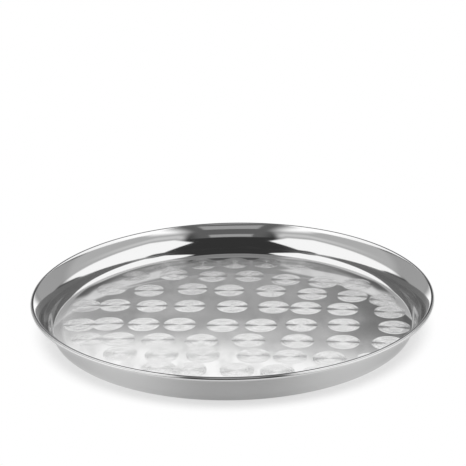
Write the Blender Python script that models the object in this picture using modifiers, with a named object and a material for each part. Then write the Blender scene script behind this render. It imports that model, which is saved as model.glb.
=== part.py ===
# Round stainless steel serving tray with a wired rim.
# One disc of sheet is pressed into a shallow pan: a flat floor, a crisp corner, a belly that curves up into
# the wall, and a long easy flare out to the lip. The edge of the lip is rolled outward and under, around a
# ring of steel wire.
# Metres, +Z up, with the origin at the middle of the underside, where the tray stands on the table.

import math

import bpy
from mathutils import Vector

# Driving dimensions
TRAY_DIAMETER = 0.400             # across the outside of the rolled rim
TRAY_HEIGHT = 0.0317              # from the table to the top of the rolled rim
SHEET_THICKNESS = 0.0007
CORNER_RADIUS = 0.0005            # of the crisp bend up from the floor, on its inside
CORNER_RISE = math.radians(62.0)  # upward from level, where the corner runs into the belly
BELLY_RADIUS = 0.0240             # of the hollow curve from corner to wall, in the middle of the sheet
WALL_LEAN = math.radians(12.5)    # outward from upright, where the belly runs into the flare
LIP_SLOPE = math.radians(40.0)    # upward from level, where the flare runs into the roll
WIRE_DIAMETER = 0.0024
WIRE_CLEARANCE = 0.0003           # all round the wire, inside the roll
ROLL_GAP = 0.0005                 # left between the roll's cut edge and the lip's underside

# How finely the round shapes are divided
RING_STEPS = 96
CORNER_STEPS = 4
BELLY_STEPS = 3
FLARE_STEPS = 7
ROLL_STEPS = 12
WIRE_STEPS = 8

# The roll's radii, all about the middle of the wire
HALF_SHEET = SHEET_THICKNESS / 2
ROLL_INNER_RADIUS = WIRE_DIAMETER / 2 + WIRE_CLEARANCE
ROLL_OUTER_RADIUS = ROLL_INNER_RADIUS + SHEET_THICKNESS
WIRE_RING_RADIUS = TRAY_DIAMETER / 2 - ROLL_OUTER_RADIUS
WIRE_HEIGHT = TRAY_HEIGHT - ROLL_OUTER_RADIUS


class SheetLine:
    """The middle line of the sheet, drawn run by run in the plane of radius and height."""

    def __init__(self, radius, height):
        self.point = Vector((radius, height))
        self.heading = 0.0
        self.stations = [(self.point.copy(), self.heading)]

    def run(self, length):
        """Go straight on."""
        self.point = self.point + length * Vector((math.cos(self.heading), math.sin(self.heading)))
        self.stations.append((self.point.copy(), self.heading))

    def bend(self, radius, turn, steps):
        """Follow an arc, to the left for a positive turn and to the right for a negative one."""
        side = math.copysign(radius, turn)
        left = Vector((-math.sin(self.heading), math.cos(self.heading)))
        centre = self.point + side * left
        start = self.heading
        for step in range(1, steps + 1):
            self.heading = start + turn * step / steps
            left = Vector((-math.sin(self.heading), math.cos(self.heading)))
            self.point = centre - side * left
            self.stations.append((self.point.copy(), self.heading))

    def face(self, offset):
        """The line moved sideways by offset, to its left for a positive one."""
        return [point + offset * Vector((-math.sin(heading), math.cos(heading)))
                for point, heading in self.stations]


def draw_sheet():
    """Lay the middle line out from the centre of the floor to the cut edge inside the roll."""
    wall_heading = math.pi / 2 - WALL_LEAN
    corner_radius = CORNER_RADIUS + HALF_SHEET
    roll_radius = ROLL_INNER_RADIUS + HALF_SHEET

    # Where the flare runs into the roll, seen from the middle of the wire
    lip_end_radius = WIRE_RING_RADIUS - roll_radius * math.sin(LIP_SLOPE)
    lip_end_height = WIRE_HEIGHT + roll_radius * math.cos(LIP_SLOPE)

    # The corner and the belly rise to the foot of the flare, and the flare takes up the rest of the height
    corner_rise = corner_radius * (1 - math.cos(CORNER_RISE))
    belly_rise = BELLY_RADIUS * (math.cos(CORNER_RISE) - math.cos(wall_heading))
    flare_rise = lip_end_height - HALF_SHEET - corner_rise - belly_rise
    flare_radius = flare_rise / (math.cos(LIP_SLOPE) - math.cos(wall_heading))

    # What the three bends reach outward leaves the radius of the floor
    corner_reach = corner_radius * math.sin(CORNER_RISE)
    belly_reach = BELLY_RADIUS * (math.sin(wall_heading) - math.sin(CORNER_RISE))
    flare_reach = flare_radius * (math.sin(wall_heading) - math.sin(LIP_SLOPE))
    floor_radius = lip_end_radius - corner_reach - belly_reach - flare_reach

    # The roll stops short of closing, by the gap at the outer corner of its cut edge
    roll_turn = 2 * math.pi - math.acos((ROLL_INNER_RADIUS - ROLL_GAP) / ROLL_OUTER_RADIUS)

    line = SheetLine(0.0, HALF_SHEET)
    line.run(floor_radius)
    line.bend(corner_radius, CORNER_RISE, CORNER_STEPS)
    line.bend(BELLY_RADIUS, wall_heading - CORNER_RISE, BELLY_STEPS)
    line.bend(flare_radius, LIP_SLOPE - wall_heading, FLARE_STEPS)
    line.bend(roll_radius, -roll_turn, ROLL_STEPS)
    return line


def turn_profile(name, profile, collection):
    """Turn a line of radius and height points about the Z axis into a closed body."""
    mesh = bpy.data.meshes.new(name)
    points = [(radius, 0.0, height) for radius, height in profile]
    edges = [(index, index + 1) for index in range(len(points) - 1)]
    mesh.from_pydata(points, edges, [])
    body = bpy.data.objects.new(name, mesh)
    collection.objects.link(body)
    screw = body.modifiers.new("turned", "SCREW")
    screw.axis = "Z"
    screw.angle = 2 * math.pi
    screw.steps = RING_STEPS
    screw.render_steps = RING_STEPS
    screw.use_smooth_shade = True
    screw.use_merge_vertices = True
    screw.merge_threshold = 0.00001
    return body


def steel(name, colour, roughness):
    """A bare metal finish."""
    material = bpy.data.materials.new(name)
    material.use_nodes = True
    shader = material.node_tree.nodes["Principled BSDF"]
    shader.inputs["Base Color"].default_value = (*colour, 1.0)
    shader.inputs["Metallic"].default_value = 1.0
    shader.inputs["Roughness"].default_value = roughness
    return material


def make_tray_pan(collection):
    """The pressed pan, from the top of the floor up the inside, round the roll and back underneath."""
    line = draw_sheet()
    profile = line.face(HALF_SHEET) + list(reversed(line.face(-HALF_SHEET)))
    pan = turn_profile("tray_pan", profile, collection)
    pan.data.materials.append(steel("polished_sheet", (0.66, 0.66, 0.65), 0.12))
    return pan


def make_rim_wire(collection):
    """The ring of wire that the rim is rolled around."""
    bpy.ops.mesh.primitive_torus_add(
        location=(0.0, 0.0, WIRE_HEIGHT),
        major_radius=WIRE_RING_RADIUS,
        minor_radius=WIRE_DIAMETER / 2,
        major_segments=RING_STEPS,
        minor_segments=WIRE_STEPS,
    )
    wire = bpy.context.object
    wire.name = "rim_wire"
    wire.data.name = "rim_wire"
    wire.data.shade_smooth()
    wire.data.materials.append(steel("drawn_wire", (0.52, 0.52, 0.53), 0.35))
    for holder in list(wire.users_collection):
        holder.objects.unlink(wire)
    collection.objects.link(wire)
    return wire


def main():
    for old in list(bpy.data.objects):
        bpy.data.objects.remove(old, do_unlink=True)
    tray = bpy.data.collections.new("serving_tray")
    bpy.context.scene.collection.children.link(tray)
    pan = make_tray_pan(tray)
    wire = make_rim_wire(tray)
    wire.parent = pan


main()
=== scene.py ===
"""Looks for a round stainless steel serving tray with a wired rim, in metres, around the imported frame."""
import math

import bmesh
import bpy
from mathutils import Matrix, Vector


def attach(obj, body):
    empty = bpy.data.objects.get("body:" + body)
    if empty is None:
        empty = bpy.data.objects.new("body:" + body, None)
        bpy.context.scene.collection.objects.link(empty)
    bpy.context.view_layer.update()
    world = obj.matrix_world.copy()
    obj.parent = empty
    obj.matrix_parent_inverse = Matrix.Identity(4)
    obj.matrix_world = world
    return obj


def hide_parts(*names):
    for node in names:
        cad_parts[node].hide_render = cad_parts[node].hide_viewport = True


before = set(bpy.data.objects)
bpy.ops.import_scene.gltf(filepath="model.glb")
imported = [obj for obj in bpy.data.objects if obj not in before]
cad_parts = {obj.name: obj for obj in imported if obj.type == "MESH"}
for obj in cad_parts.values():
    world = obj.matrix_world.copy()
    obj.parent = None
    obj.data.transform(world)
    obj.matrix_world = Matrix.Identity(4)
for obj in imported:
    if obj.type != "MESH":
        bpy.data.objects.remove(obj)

for leftover in ("Cube", "Light", "Camera"):
    if leftover in bpy.data.objects:
        bpy.data.objects.remove(bpy.data.objects[leftover])
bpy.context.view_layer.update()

# Pressed pan
# One disc of stainless sheet, pressed cold in a die: a flat floor, a crisp corner, a belly that curves up into the
# wall, and a long easy flare out to the lip, whose edge is rolled outward and under around the rim wire.
TRAY_RADIUS = 0.200
TRAY_HEIGHT = 0.0317
SHEET = 0.0007
CORNER_RADIUS = 0.0005             # inside
CORNER_RISE = math.radians(62.0)   # upward from level, where the corner runs into the belly
BELLY_RADIUS = 0.0240              # in the middle of the sheet
WALL_LEAN = math.radians(12.5)     # outward from upright, where the belly runs into the flare
LIP_SLOPE = math.radians(40.0)     # upward from level, where the flare runs into the roll
WIRE_RADIUS = 0.0012
WIRE_CLEARANCE = 0.0003
ROLL_GAP = 0.0005                  # between the roll's cut edge and the lip's underside
EASE = 0.0002                      # a narrow strip beside the corner, which keeps the floor flat in shading
CORNER_STEPS = 10
BELLY_STEPS = 12
FLARE_STEPS = 24
ROLL_STEPS = 32
RING_STEPS = 360
FULL_TURN = 2 * math.pi
MERGE_DISTANCE = 1e-6

HALF_SHEET = SHEET / 2
ROLL_INNER = WIRE_RADIUS + WIRE_CLEARANCE
ROLL_OUTER = ROLL_INNER + SHEET
ROLL_MIDDLE = ROLL_INNER + HALF_SHEET
CORNER_MIDDLE = CORNER_RADIUS + HALF_SHEET
WIRE_RING_RADIUS = TRAY_RADIUS - ROLL_OUTER
WIRE_HEIGHT = TRAY_HEIGHT - ROLL_OUTER

wall_heading = math.pi / 2 - WALL_LEAN
roll_turn = FULL_TURN - math.acos((ROLL_INNER - ROLL_GAP) / ROLL_OUTER)
lip_end_radius = WIRE_RING_RADIUS - ROLL_MIDDLE * math.sin(LIP_SLOPE)
lip_end_height = WIRE_HEIGHT + ROLL_MIDDLE * math.cos(LIP_SLOPE)
corner_rise = CORNER_MIDDLE * (1 - math.cos(CORNER_RISE))
belly_rise = BELLY_RADIUS * (math.cos(CORNER_RISE) - math.cos(wall_heading))
flare_rise = lip_end_height - HALF_SHEET - corner_rise - belly_rise
flare_radius = flare_rise / (math.cos(LIP_SLOPE) - math.cos(wall_heading))
corner_reach = CORNER_MIDDLE * math.sin(CORNER_RISE)
belly_reach = BELLY_RADIUS * (math.sin(wall_heading) - math.sin(CORNER_RISE))
flare_reach = flare_radius * (math.sin(wall_heading) - math.sin(LIP_SLOPE))
floor_radius = lip_end_radius - corner_reach - belly_reach - flare_reach


def bend(mesh, tip, heading, radius, turn, steps):
    """Draw the sheet's upper face round an arc, to the left for a positive turn, and return its new end."""
    side = math.copysign(radius, turn)
    centre = tip.co + side * Vector((-math.sin(heading), 0.0, math.cos(heading)))
    arc = bmesh.ops.spin(mesh, geom=[tip], cent=centre, axis=(0, -1, 0), angle=turn, steps=steps)
    return arc["geom_last"][0]


def turn_round(mesh):
    """Turn the outline about the tray's axis and close the seam."""
    outline = mesh.verts[:] + mesh.edges[:]
    bmesh.ops.spin(mesh, geom=outline, axis=(0, 0, 1), angle=FULL_TURN, steps=RING_STEPS, use_merge=True)
    bmesh.ops.remove_doubles(mesh, verts=mesh.verts, dist=MERGE_DISTANCE)


pan_mesh = bmesh.new()
inner_edge = pan_mesh.verts.new((floor_radius - EASE, 0.0, SHEET))
tip = bmesh.ops.extrude_vert_indiv(pan_mesh, verts=[inner_edge])["verts"][0]
tip.co.x += EASE
tip = bend(pan_mesh, tip, 0.0, CORNER_RADIUS, CORNER_RISE, CORNER_STEPS)
tip = bend(pan_mesh, tip, CORNER_RISE, BELLY_RADIUS - HALF_SHEET, wall_heading - CORNER_RISE, BELLY_STEPS)
tip = bend(pan_mesh, tip, wall_heading, flare_radius + HALF_SHEET, LIP_SLOPE - wall_heading, FLARE_STEPS)
bend(pan_mesh, tip, LIP_SLOPE, ROLL_OUTER, -roll_turn, ROLL_STEPS)
turn_round(pan_mesh)
floor_edge = [edge for edge in pan_mesh.edges if edge.is_boundary and edge.verts[0].co.xy.length < floor_radius]
bmesh.ops.edgeloop_fill(pan_mesh, edges=floor_edge)
bmesh.ops.recalc_face_normals(pan_mesh, faces=pan_mesh.faces)
bmesh.ops.solidify(pan_mesh, geom=pan_mesh.faces[:], thickness=SHEET)

# Round polish of the floor
# A turning abrasive pad is set down on the floor row by row, and each touch leaves one round spot of fine circular
# scratches. The rows were set by hand, so they sag and the spots crowd in places. Millimetres across the floor.
SPOT_ROWS = (
    ((-70, 146), (-32, 150), (4, 151), (39, 150), (76, 143)),
    ((-104, 117), (-63, 120), (-21, 113), (19, 111), (58, 99), (97, 90), (133, 82)),
    ((-128, 82), (-88, 76), (-42, 78), (-3, 72), (41, 68), (84, 58), (125, 50), (157, 38)),
    ((-152, 38), (-121, 38), (-83, 34), (-44, 32), (0, 29), (42, 25), (75, 21), (112, 16), (159, 7)),
    ((-153, -10), (-125, -9), (-89, -12), (-53, -14), (-10, -18), (28, -20), (68, -21), (110, -23), (159, -31)),
    ((-142, -46), (-112, -46), (-73, -50), (-31, -54), (15, -55), (62, -59), (106, -63), (149, -68)),
    ((-108, -79), (-68, -85), (-29, -87), (19, -90), (53, -94), (90, -99), (130, -104)),
    ((-70, -113), (-41, -118), (3, -121), (40, -126), (78, -131)),
    ((-58, -150), (-18, -156), (24, -158)),
)
MILLIMETRE = 0.001
SPOT_RADIUS = 0.0165
FACING_UP = 0.9
CUT_DISTANCE = 1e-7
SHARP_ANGLE = math.radians(40.0)

spots = [Vector((x * MILLIMETRE, y * MILLIMETRE, SHEET)) for row in SPOT_ROWS for x, y in row]
spot_centre = pan_mesh.faces.layers.float_vector.new("spot_centre")
# The flat floor is cut into one field round each spot, and every field knows the centre of its spot
upper_faces = [face for face in pan_mesh.faces if face.normal.z > FACING_UP]
floor_face = max(upper_faces, key=lambda face: face.calc_area())
fields = {floor_face: spots[0]}
for spot in spots[1:]:
    nearer = []
    for field, centre in list(fields.items()):
        if all((corner.co - spot).length > (corner.co - centre).length for corner in field.verts):
            continue
        around = [field] + field.edges[:] + field.verts[:]
        cut = bmesh.ops.bisect_plane(pan_mesh, geom=around, dist=CUT_DISTANCE, plane_co=(spot + centre) / 2,
                                     plane_no=spot - centre)
        del fields[field]
        for face in cut["geom"]:
            if isinstance(face, bmesh.types.BMFace):
                middle = face.calc_center_median()
                if (middle - spot).length < (middle - centre).length:
                    nearer.append(face)
                else:
                    fields[face] = centre
    if len(nearer) > 1:
        nearer = bmesh.ops.dissolve_faces(pan_mesh, faces=nearer, use_verts=True)["region"]
    for face in nearer:
        fields[face] = spot
for field, centre in fields.items():
    field[spot_centre] = centre
    field.material_index = 1


def finish_mesh(mesh, name):
    """Hand a bmesh over to a mesh of that name, and free it."""
    data = bpy.data.meshes.new(name)
    mesh.to_mesh(data)
    mesh.free()
    return data


pan_data = finish_mesh(pan_mesh, "tray_pan_polished")
pan_data.shade_smooth()
pan_data.set_sharp_from_angle(angle=SHARP_ANGLE)


class Shade:
    """A shader socket that Python's arithmetic works on, adding a Math node for each operator."""

    def __init__(self, socket):
        self.socket = socket
        self.tree = socket.id_data

    def node(self, kind, settings, sockets, output=0):
        node = self.tree.nodes.new(kind)
        for name, setting in settings.items():
            setattr(node, name, setting)
        for place, value in sockets.items():
            if isinstance(value, Shade):
                self.tree.links.new(value.socket, node.inputs[place])
            else:
                node.inputs[place].default_value = value
        return Shade(node.outputs[output])

    def math(self, operation, *terms):
        return self.node("ShaderNodeMath", {"operation": operation}, dict(enumerate(terms)))

    def vector(self, operation, sockets, output="Vector"):
        return self.node("ShaderNodeVectorMath", {"operation": operation}, sockets, output)

    def noise(self, scale, detail):
        return self.node("ShaderNodeTexNoise", {}, {"Vector": self, "Scale": scale, "Detail": detail})

    def parts(self):
        """The X, Y and Z of a vector."""
        return [self.node("ShaderNodeSeparateXYZ", {}, {0: self}, axis) for axis in "XYZ"]

    def rise(self, low, high):
        """From 0 at low to 1 at high, eased."""
        ends = {"Value": self, "From Min": low, "From Max": high}
        return self.node("ShaderNodeMapRange", {"interpolation_type": "SMOOTHSTEP"}, ends)

    def fall(self, low, high):
        """From 1 at low to 0 at high, eased."""
        return 1 - self.rise(low, high)

    def span(self, none, full):
        """A number that goes from none where this is 0 to full where it is 1."""
        return none + (full - none) * self

    def tone(self, none, full):
        """A colour that goes from none where this is 0 to full where it is 1."""
        return self.node("ShaderNodeMix", {"data_type": "RGBA"}, {0: self, 6: none, 7: full}, 2)

    def toward(self, other, mask):
        """This where the mask is 0, going over to the other where it is 1."""
        return self + (other - self) * mask

    def most(self, other):
        return self.math("MAXIMUM", self, other)

    def least(self, other):
        return self.math("MINIMUM", self, other)

    def feed(self, node, place):
        self.tree.links.new(self.socket, node.inputs[place])

    def __add__(self, other):
        return self.math("ADD", self, other)

    def __radd__(self, other):
        return self.math("ADD", other, self)

    def __sub__(self, other):
        return self.math("SUBTRACT", self, other)

    def __rsub__(self, other):
        return self.math("SUBTRACT", other, self)

    def __mul__(self, other):
        return self.math("MULTIPLY", self, other)

    def __rmul__(self, other):
        return self.math("MULTIPLY", other, self)

    def __truediv__(self, other):
        return self.math("DIVIDE", self, other)


def bare_steel(name, colour):
    """A bare metal material, its shader, and the place on the piece as a first socket."""
    material = bpy.data.materials.new(name)
    material.use_nodes = True
    shader = material.node_tree.nodes["Principled BSDF"]
    shader.inputs["Base Color"].default_value = colour
    shader.inputs["Metallic"].default_value = 1.0
    place = Shade(material.node_tree.nodes.new("ShaderNodeTexCoord").outputs["Object"])
    return material, shader, place


STEEL = (0.63, 0.63, 0.63, 1.0)
PAINTED_REFLECTION_GREY = (0.06, 0.06, 0.063, 1.0)  # a painted dark reflection along the top of the roll, standing in for the dark surroundings it mirrors
CREST_INNER = (-36, -24)               # degrees round the roll from its top, where the line fades in
CREST_OUTER = (14, 24)                 # and where it fades out
MIRROR_ROUGHNESS = 0.04
SMEAR_ROUGHNESS = 0.05                 # added at most by faint smears
CREST_ROUGHNESS = 0.03                 # added on the crest line
SMEAR_SCALE = 40.0
mirror, mirror_shader, place = bare_steel("mirror_polish", STEEL)
smears = place.noise(SMEAR_SCALE, 3.0)
x, y, z = place.parts()
radius = place.math("SQRT", x * x + y * y)
around = place.math("ARCTAN2", radius - WIRE_RING_RADIUS, z - WIRE_HEIGHT) * math.degrees(1)
# A dark line painted along the crest of the roll stands in for its reflection of dark surroundings; the same mask
# adds a little roughness there
painted_reflection_line = around.rise(*CREST_INNER) * around.fall(*CREST_OUTER)
(MIRROR_ROUGHNESS + SMEAR_ROUGHNESS * smears + CREST_ROUGHNESS * painted_reflection_line).feed(mirror_shader, "Roughness")
painted_reflection_line.tone(STEEL, PAINTED_REFLECTION_GREY).feed(mirror_shader, "Base Color")

SPOT_EDGE = 0.0008                 # over which a spot fades out
SCRATCH_PITCH = 0.00003            # between the circular scratches of a spot
SCRATCH_TILT = 0.20                # of the scratches' flanks, sideways over up
SCRATCH_SEED = (7919.0, 104729.0, 0.0)  # makes a number of each spot's centre, so that no two spots are alike
WIPE_ANGLE = math.radians(35.0)    # of the wiping smears between the spots
WIPE_STRETCH = (1.0, 0.45, 1.0)
WIPE_SCALE = 60.0
WIPE_DULLNESS = 0.5                # at most, between the spots
WIPE_RANGE = (0.4, 0.75)
CLOUD_SCALE = 14.0
CLOUD_RANGE = (0.4, 0.7)
SPOT_DULLNESS = 0.2
DULL_STEEL = (0.46, 0.46, 0.46, 1.0)
EDGE_RING = (0.168, 0.173)         # beyond which the floor's steel is duller, towards the corner
FLOOR_ROUGHNESS = 0.04
WIPE_ROUGHNESS = 0.03              # added at most by the wiping smears
CLOUD_ROUGHNESS = 0.05             # added at most by wide clouds between the spots
SPOT_ROUGHNESS = 0.01              # added in the spots
spotted, spotted_shader, place = bare_steel("round_spot_polish", STEEL)
x, y, z = place.parts()
radius = place.math("SQRT", x * x + y * y)
centre = place.node("ShaderNodeAttribute", {"attribute_name": "spot_centre"}, {}, "Vector")
offset = place.vector("SUBTRACT", {0: place, 1: centre})
away = place.vector("NORMALIZE", {0: offset})
reach = place.vector("LENGTH", {0: offset}, "Value")
in_spot = reach.fall(SPOT_RADIUS - SPOT_EDGE, SPOT_RADIUS)
ring = place.math("FLOOR", reach / SCRATCH_PITCH)
which = place.vector("DOT_PRODUCT", {0: centre, 1: SCRATCH_SEED}, "Value")
flank = place.node("ShaderNodeTexWhiteNoise", {"noise_dimensions": "1D"}, {"W": ring + which}, "Value")
lean = flank.span(-SCRATCH_TILT, SCRATCH_TILT) * in_spot
upright = place.node("ShaderNodeNewGeometry", {}, {}, "Normal")
tilted = place.vector("ADD", {0: upright, 1: place.vector("SCALE", {0: away, "Scale": lean})})
place.vector("NORMALIZE", {0: tilted}).feed(spotted_shader, "Normal")
along = place.node("ShaderNodeMapping", {}, {0: place, "Rotation": (0, 0, WIPE_ANGLE), "Scale": WIPE_STRETCH})
smears = along.noise(WIPE_SCALE, 4.0)
clouds = place.noise(CLOUD_SCALE, 2.0).rise(*CLOUD_RANGE) * (1 - in_spot)
roughness = FLOOR_ROUGHNESS + WIPE_ROUGHNESS * smears + CLOUD_ROUGHNESS * clouds + SPOT_ROUGHNESS * in_spot
roughness.feed(spotted_shader, "Roughness")
wiped = WIPE_DULLNESS * smears.rise(*WIPE_RANGE) * (1 - in_spot)
dull = wiped.most(radius.rise(*EDGE_RING)).most(SPOT_DULLNESS * in_spot)
dull.tone(STEEL, DULL_STEEL).feed(spotted_shader, "Base Color")

pan_data.materials.append(mirror)
pan_data.materials.append(spotted)
pan = bpy.data.objects.new("tray_pan_polished", pan_data)
bpy.context.collection.objects.link(pan)
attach(pan, "root")
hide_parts("tray_pan")

# Rim wire
# A ring of drawn steel wire, butted end to end, that stiffens the rim. It lies loose inside the roll, and only a
# sliver of it shows from below, through the gap beside the roll's cut edge.
WIRE_SIDES = 16
WIRE_STEEL = (0.50, 0.50, 0.51, 1.0)
WIRE_ROUGHNESS = 0.25
DRAWING_ROUGHNESS = 0.2            # added at most by the marks of the drawing die
DRAWING_SCALE = 900.0
wire_mesh = bmesh.new()
across = Matrix.Translation((WIRE_RING_RADIUS, 0.0, WIRE_HEIGHT)) @ Matrix.Rotation(math.pi / 2, 4, "X")
bmesh.ops.create_circle(wire_mesh, segments=WIRE_SIDES, radius=WIRE_RADIUS, matrix=across)
turn_round(wire_mesh)
bmesh.ops.recalc_face_normals(wire_mesh, faces=wire_mesh.faces)
wire_data = finish_mesh(wire_mesh, "rim_wire_drawn")
wire_data.shade_smooth()
drawn, drawn_shader, place = bare_steel("drawn_wire", WIRE_STEEL)
dullness = place.noise(DRAWING_SCALE, 2.0)
(WIRE_ROUGHNESS + DRAWING_ROUGHNESS * dullness).feed(drawn_shader, "Roughness")
wire_data.materials.append(drawn)
wire = bpy.data.objects.new("rim_wire_drawn", wire_data)
bpy.context.collection.objects.link(wire)
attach(wire, "root")
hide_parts("rim_wire")

# Table
# A plain white table top, which the tray stands on. Part of its white is its own glow, which to the camera grows
# weaker under the rim: a painted shadow on top of the real one, so that the tray's shadow lies close round its
# foot.
# The steel shows the table greyer near the tray, most of all in front and at the far left and right: painted shade
# that darkens the tray's reflections.
STUDIO_RADIUS = 40.0
TABLE_SIDES = 96
TABLE_DROP = 0.0002                # just under the tray, so that the two faces don't meet
TABLE_WHITE = (0.99, 0.99, 0.99, 1.0)
GLOW_WHITE = (1.0, 1.0, 1.0, 1.0)
FOOT_GLOW = 0.55                   # to the camera, close to the tray's foot
OPEN_GLOW = 1.00                   # to the camera, past the tray's edge
SHADOW_EDGE = (TRAY_RADIUS - 0.017, TRAY_RADIUS + 0.004)
FRONT_GLOW = 0.25                  # as the steel shows it, in front of the tray
SIDE_GLOW = 0.64                   # as the steel shows it, to the left and right of that, and behind
SIDE_START = (0.02, 0.11)          # to the left or right of the middle
SIDE_END = (0.12, 0.18)
SIDE_LOSS = 0.8                    # of the side's glow, at the far left and right
REAR_START = (-0.05, 0.1)          # from front to back
NEAR_EDGE = (TRAY_RADIUS + 0.02, TRAY_RADIUS + 0.06)  # beyond which the steel shows the table white


def emptied_material(name):
    """A new material for the stage, with no nodes, and the place on its piece as a first socket."""
    material = bpy.data.materials.new(name)
    material.use_nodes = True
    material.node_tree.nodes.clear()
    place = Shade(material.node_tree.nodes.new("ShaderNodeTexCoord").outputs["Object"])
    return material, place


table_mesh = bmesh.new()
bmesh.ops.create_circle(table_mesh, cap_ends=True, segments=TABLE_SIDES, radius=STUDIO_RADIUS,
                        matrix=Matrix.Translation((0.0, 0.0, -TABLE_DROP)))
table_data = finish_mesh(table_mesh, "table")
white, place = emptied_material("white_table")
x, y, z = place.parts()
radius = place.vector("LENGTH", {0: place}, "Value")
# Less glow under the rim paints shadow there, on top of the real shadow in the matt part
camera_glow = radius.rise(*SHADOW_EDGE).span(FOOT_GLOW, OPEN_GLOW)
off_middle = place.math("ABSOLUTE", x)
sideways = off_middle.rise(*SIDE_START) * (1 - SIDE_LOSS * off_middle.rise(*SIDE_END))
# A greyer table near the tray, seen only in the steel: painted shade for the tray's reflections
near_glow = sideways.most(y.rise(*REAR_START)).span(FRONT_GLOW, SIDE_GLOW)
steel_glow = near_glow + (1 - near_glow) * radius.rise(*NEAR_EDGE)
seen = place.node("ShaderNodeLightPath", {}, {}, "Is Camera Ray") * camera_glow
for ray in ("Is Glossy Ray", "Is Transmission Ray"):
    seen = seen.most(place.node("ShaderNodeLightPath", {}, {}, ray) * steel_glow)
matt = seen.node("ShaderNodeBsdfDiffuse", {}, {"Color": TABLE_WHITE})
glow = seen.node("ShaderNodeEmission", {}, {"Color": GLOW_WHITE, "Strength": 1.0})
surface = seen.node("ShaderNodeMixShader", {}, {0: seen, 1: matt, 2: glow})
surface.feed(white.node_tree.nodes.new("ShaderNodeOutputMaterial"), "Surface")
table_data.materials.append(white)
table = bpy.data.objects.new("table", table_data)
bpy.context.collection.objects.link(table)

# Studio
# Soft light from all round, as in a tent of white cloth that the steel shows and the camera looks through: bright
# panels, a bright back above a grey skirt, a grey roof with a dark opening, and a dark side towards the camera.
# Turn is 0 at the camera and 180 at the back, in degrees. Each pair is where a change starts and ends.
tent_mesh = bmesh.new()
bmesh.ops.create_uvsphere(tent_mesh, u_segments=64, v_segments=32, radius=STUDIO_RADIUS)
tent_data = finish_mesh(tent_mesh, "tent")
cloth, place = emptied_material("tent_light")
look = place.vector("NORMALIZE", {0: place})
x, y, z = look.parts()
height = look.math("ARCSINE", z) * math.degrees(1)
turn = look.math("ABSOLUTE", look.math("ARCTAN2", x, -1 * y)) * math.degrees(1)
aside = look.math("ABSOLUTE", x)

# The dark camera's side, and the grey above the panels
DARK = 0.05
GAP = 0.11
GAP_TURN = (30, 50)
ROOF = 0.64
ROOF_TURN = (30, 38)
ROOF_FOOT = (-1, 2)                # above the panel's top
BACK_GREY = 0.5
BACK_TURN = (118, 130)
POINT_TURN = 26                    # where each panel starts, in a point towards the camera
POINT_HEIGHT = 27
POINT_RISE = 0.81                  # of the panel's top from there, degrees for each degree of turn
POINT_DROP = 1.03                  # of its foot
SHOULDER_TURN = 60                 # where the top starts to come down towards the back
SHOULDER_HEIGHT = 39
SHOULDER_DROP = 0.45
FOOT_HEIGHT = 8
FOOT_STEPS = ((-11, 50, 70), (5, 75, 100), (4.5, 102, 116))  # up or down, and the turns between
top_line = (POINT_HEIGHT + POINT_RISE * (turn - POINT_TURN)).least(SHOULDER_HEIGHT)
panel_top = top_line.least(SHOULDER_HEIGHT - SHOULDER_DROP * (turn - SHOULDER_TURN))
panel_foot = FOOT_HEIGHT
for step, start, end in FOOT_STEPS:
    panel_foot = panel_foot + step * turn.rise(start, end)
panel_foot = panel_foot.most(POINT_HEIGHT - POINT_DROP * (turn - POINT_TURN))
over_top = height - panel_top
grey = turn.rise(*BACK_TURN).span(ROOF, BACK_GREY)
light = turn.rise(*GAP_TURN).span(DARK, GAP)
light = light.toward(grey, over_top.rise(*ROOF_FOOT) * turn.rise(*ROOF_TURN))

# The bright panels, with a paler band of the roof above them
SIDE_LIGHT = 1.45
SIDE_FADE = 0.5                    # of its light, at the panel's end by the back
SIDE_FADE_TURN = (118, 132)
PANEL_FOOT_BLUR = (-1.2, 1.2)
PANEL_TOP_BLUR = (-2, 2)
BAND_LIGHT = 0.24
BAND_FOOT = (2, 7)                 # above the panel's top
BAND_TOP = (8, 14)
BAND_TURN = (60, 125)              # over which it fades towards the back
band = over_top.rise(*BAND_FOOT) * over_top.fall(*BAND_TOP) * turn.fall(*BAND_TURN)
light = light + BAND_LIGHT * band * turn.rise(*ROOF_TURN)
panel = (height - panel_foot).rise(*PANEL_FOOT_BLUR) * over_top.fall(*PANEL_TOP_BLUR)
light = light.toward(SIDE_LIGHT * (1 - SIDE_FADE * turn.rise(*SIDE_FADE_TURN)), panel)

# The bright back and the roof above it, over an edge that comes down from the sides and runs low behind the tray
BACK_LIGHT = 1.45
ROOF_TOP = 1.6
ROOF_TOP_HEIGHT = (48, 60)
EDGE_HEIGHT = 62
EDGE_TURN = 75                     # where the edge starts to come down
EDGE_DROP = 0.45
EDGE_BLUR = 0.6
EDGE_SIDE_BLUR = 10                # downward, on the camera's side
EDGE_BLUR_TURN = (68, 88)
BACK_EDGE = 24.9
BACK_SLANT = 6
HEM_SHADE = 0.6                    # in the narrow hem under the edge
HEM_FOOT = (-3, -2)                # above the edge
HEM_START = (115, 125)
HEM_END = (150, 160)
edge_line = (EDGE_HEIGHT - EDGE_DROP * (turn - EDGE_TURN)).least(EDGE_HEIGHT)
over_edge = height - edge_line.most(BACK_EDGE + BACK_SLANT * x)
hem = over_edge.rise(*HEM_FOOT) * turn.rise(*HEM_START) * turn.fall(*HEM_END)
light = light * (1 - HEM_SHADE * hem)
above = height.rise(*ROOF_TOP_HEIGHT).span(BACK_LIGHT, ROOF_TOP)
blur = turn.rise(*EDGE_BLUR_TURN).span(-EDGE_SIDE_BLUR, -EDGE_BLUR)
light = light.toward(above, over_edge.rise(blur, EDGE_BLUR))

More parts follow.
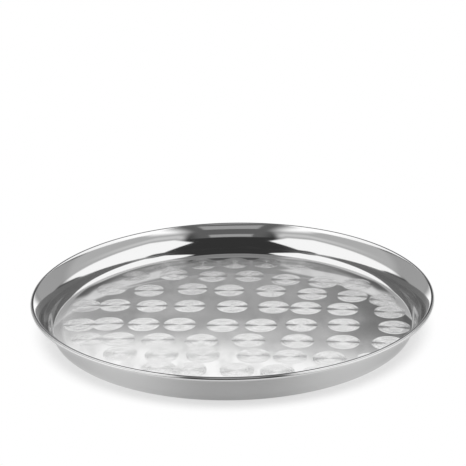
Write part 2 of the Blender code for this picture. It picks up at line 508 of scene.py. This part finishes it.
# The skirt under the back, with a darker fold on either side and a bright strip at its foot
FOLD_SHADE = 0.35
RIGHT_FOLD_SHADE = 0.25            # more, in the right-hand fold
RIGHT_SIDE = (0, 0.1)              # from the middle, as a share of the tent's radius
FOLD_START = (156, 164)
FOLD_END = (172, 178)
FOLD_TOP = (-2, 0)                 # above the edge
SKIRT_FOOT = (17, 19.5)
SKIRT_TURN = (158, 166)
fold = turn.rise(*FOLD_START) * turn.fall(*FOLD_END) * over_edge.fall(*FOLD_TOP)
light = light * (1 - (FOLD_SHADE + RIGHT_FOLD_SHADE * x.rise(*RIGHT_SIDE)) * fold)
light = light.toward(BACK_LIGHT, height.fall(*SKIRT_FOOT) * turn.rise(*SKIRT_TURN))

# The dark opening overhead, narrower behind, with a paler crown and two pale strips on the camera's side
ROOF_MIDDLE = 0.17
ROOF_BACK = 0.2
ROOF_CROWN = 0.6
CROWN_HEIGHT = (77, 85)
BEHIND_TURN = (70, 100)
BEHIND_HEIGHT = (74, 80)           # above which the opening is as narrow as behind
OPENING_SIDE = (0.26, 0.44)        # to the left or right, as a share of the tent's radius
BACK_OPENING_SIDE = (0.16, 0.30)
OPENING_FOOT = (36, 39)
BACK_OPENING_FOOT = (50, 54)
STRIP_LIGHT = 0.5
STRIP_SIDE = (0.19, 0.21)
STRIP_TURN = (60, 62)
STRIP_HEIGHTS = ((38, 47), (62, 74))
STRIP_BLUR = 1
behind = turn.rise(*BEHIND_TURN).most(height.rise(*BEHIND_HEIGHT))
opening_side = [behind.span(front, back) for front, back in zip(OPENING_SIDE, BACK_OPENING_SIDE)]
opening_foot = [behind.span(front, back) for front, back in zip(OPENING_FOOT, BACK_OPENING_FOOT)]
opening = aside.fall(*opening_side) * height.rise(*opening_foot)
middle = behind.span(ROOF_MIDDLE, ROOF_BACK) + (ROOF_CROWN - ROOF_BACK) * height.rise(*CROWN_HEIGHT)
light = light.toward(middle, opening)
for foot, top in STRIP_HEIGHTS:
    strip = height.rise(foot, foot + STRIP_BLUR) * height.fall(top - STRIP_BLUR, top)
    light = light.toward(STRIP_LIGHT, strip * aside.fall(*STRIP_SIDE) * turn.fall(*STRIP_TURN))

# Where steel shows the tent in other steel, the sides and the low part of the back are dimmer
SECOND_BOUNCE = (1.4, 1.6)
SIDE_AGAIN = 0.33
SIDE_AGAIN_TOP = (40, 46)
SIDE_AGAIN_TURN = (130, 150)
BACK_AGAIN = 1.0                   # at most
BACK_AGAIN_TOP = (38, 46)
ROOF_AGAIN_FOOT = (50, 54)         # above which no part of the roof is darker than its plain grey
twice = look.node("ShaderNodeLightPath", {}, {}, "Glossy Depth").rise(*SECOND_BOUNCE)
light = light.toward(SIDE_AGAIN, twice * height.fall(*SIDE_AGAIN_TOP) * turn.fall(*SIDE_AGAIN_TURN))
evened = light.least(height.rise(*BACK_AGAIN_TOP).span(BACK_AGAIN, BACK_LIGHT))
evened = evened.most(ROOF * height.rise(*ROOF_AGAIN_FOOT))
light = light.toward(evened, twice)
glow = look.node("ShaderNodeEmission", {}, {"Color": light, "Strength": 1.0})
glow.feed(cloth.node_tree.nodes.new("ShaderNodeOutputMaterial"), "Surface")
tent_data.materials.append(cloth)
tent = bpy.data.objects.new("tent", tent_data)
bpy.context.collection.objects.link(tent)
tent.visible_camera = False

world = bpy.data.worlds.new("white_world")
world.use_nodes = True
world.node_tree.nodes["Background"].inputs["Color"].default_value = GLOW_WHITE
bpy.context.scene.world = world
bpy.context.scene.view_settings.view_transform = "Standard"

# Camera
# It stands in front of the tray and looks down on it, at the photograph's height, distance and slight roll.
PHOTO_PIXELS = 466
FOCAL_PIXELS = 1343.3
SENSOR_WIDTH = 36.0
CAMERA_DISTANCE = 1.350            # to a point just above the middle of the floor
CAMERA_ELEVATION = math.radians(23.19)
AIM_HEIGHT = 0.013
CAMERA_TILT = math.radians(20.06)  # downward
CAMERA_PAN = math.radians(-0.09)
CAMERA_ROLL = math.radians(-1.08)
lens = bpy.data.cameras.new("camera")
lens.sensor_width = SENSOR_WIDTH
lens.lens = FOCAL_PIXELS / PHOTO_PIXELS * SENSOR_WIDTH
lens.clip_end = 3 * STUDIO_RADIUS
camera = bpy.data.objects.new("camera", lens)
bpy.context.collection.objects.link(camera)
camera.matrix_world = (
    Matrix.Translation((0.0, -CAMERA_DISTANCE * math.cos(CAMERA_ELEVATION),
                        AIM_HEIGHT + CAMERA_DISTANCE * math.sin(CAMERA_ELEVATION)))
    @ Matrix.Rotation(CAMERA_PAN, 4, "Z")
    @ Matrix.Rotation(math.pi / 2 - CAMERA_TILT, 4, "X")
    @ Matrix.Rotation(CAMERA_ROLL, 4, "Z")
)
bpy.context.scene.camera = camera
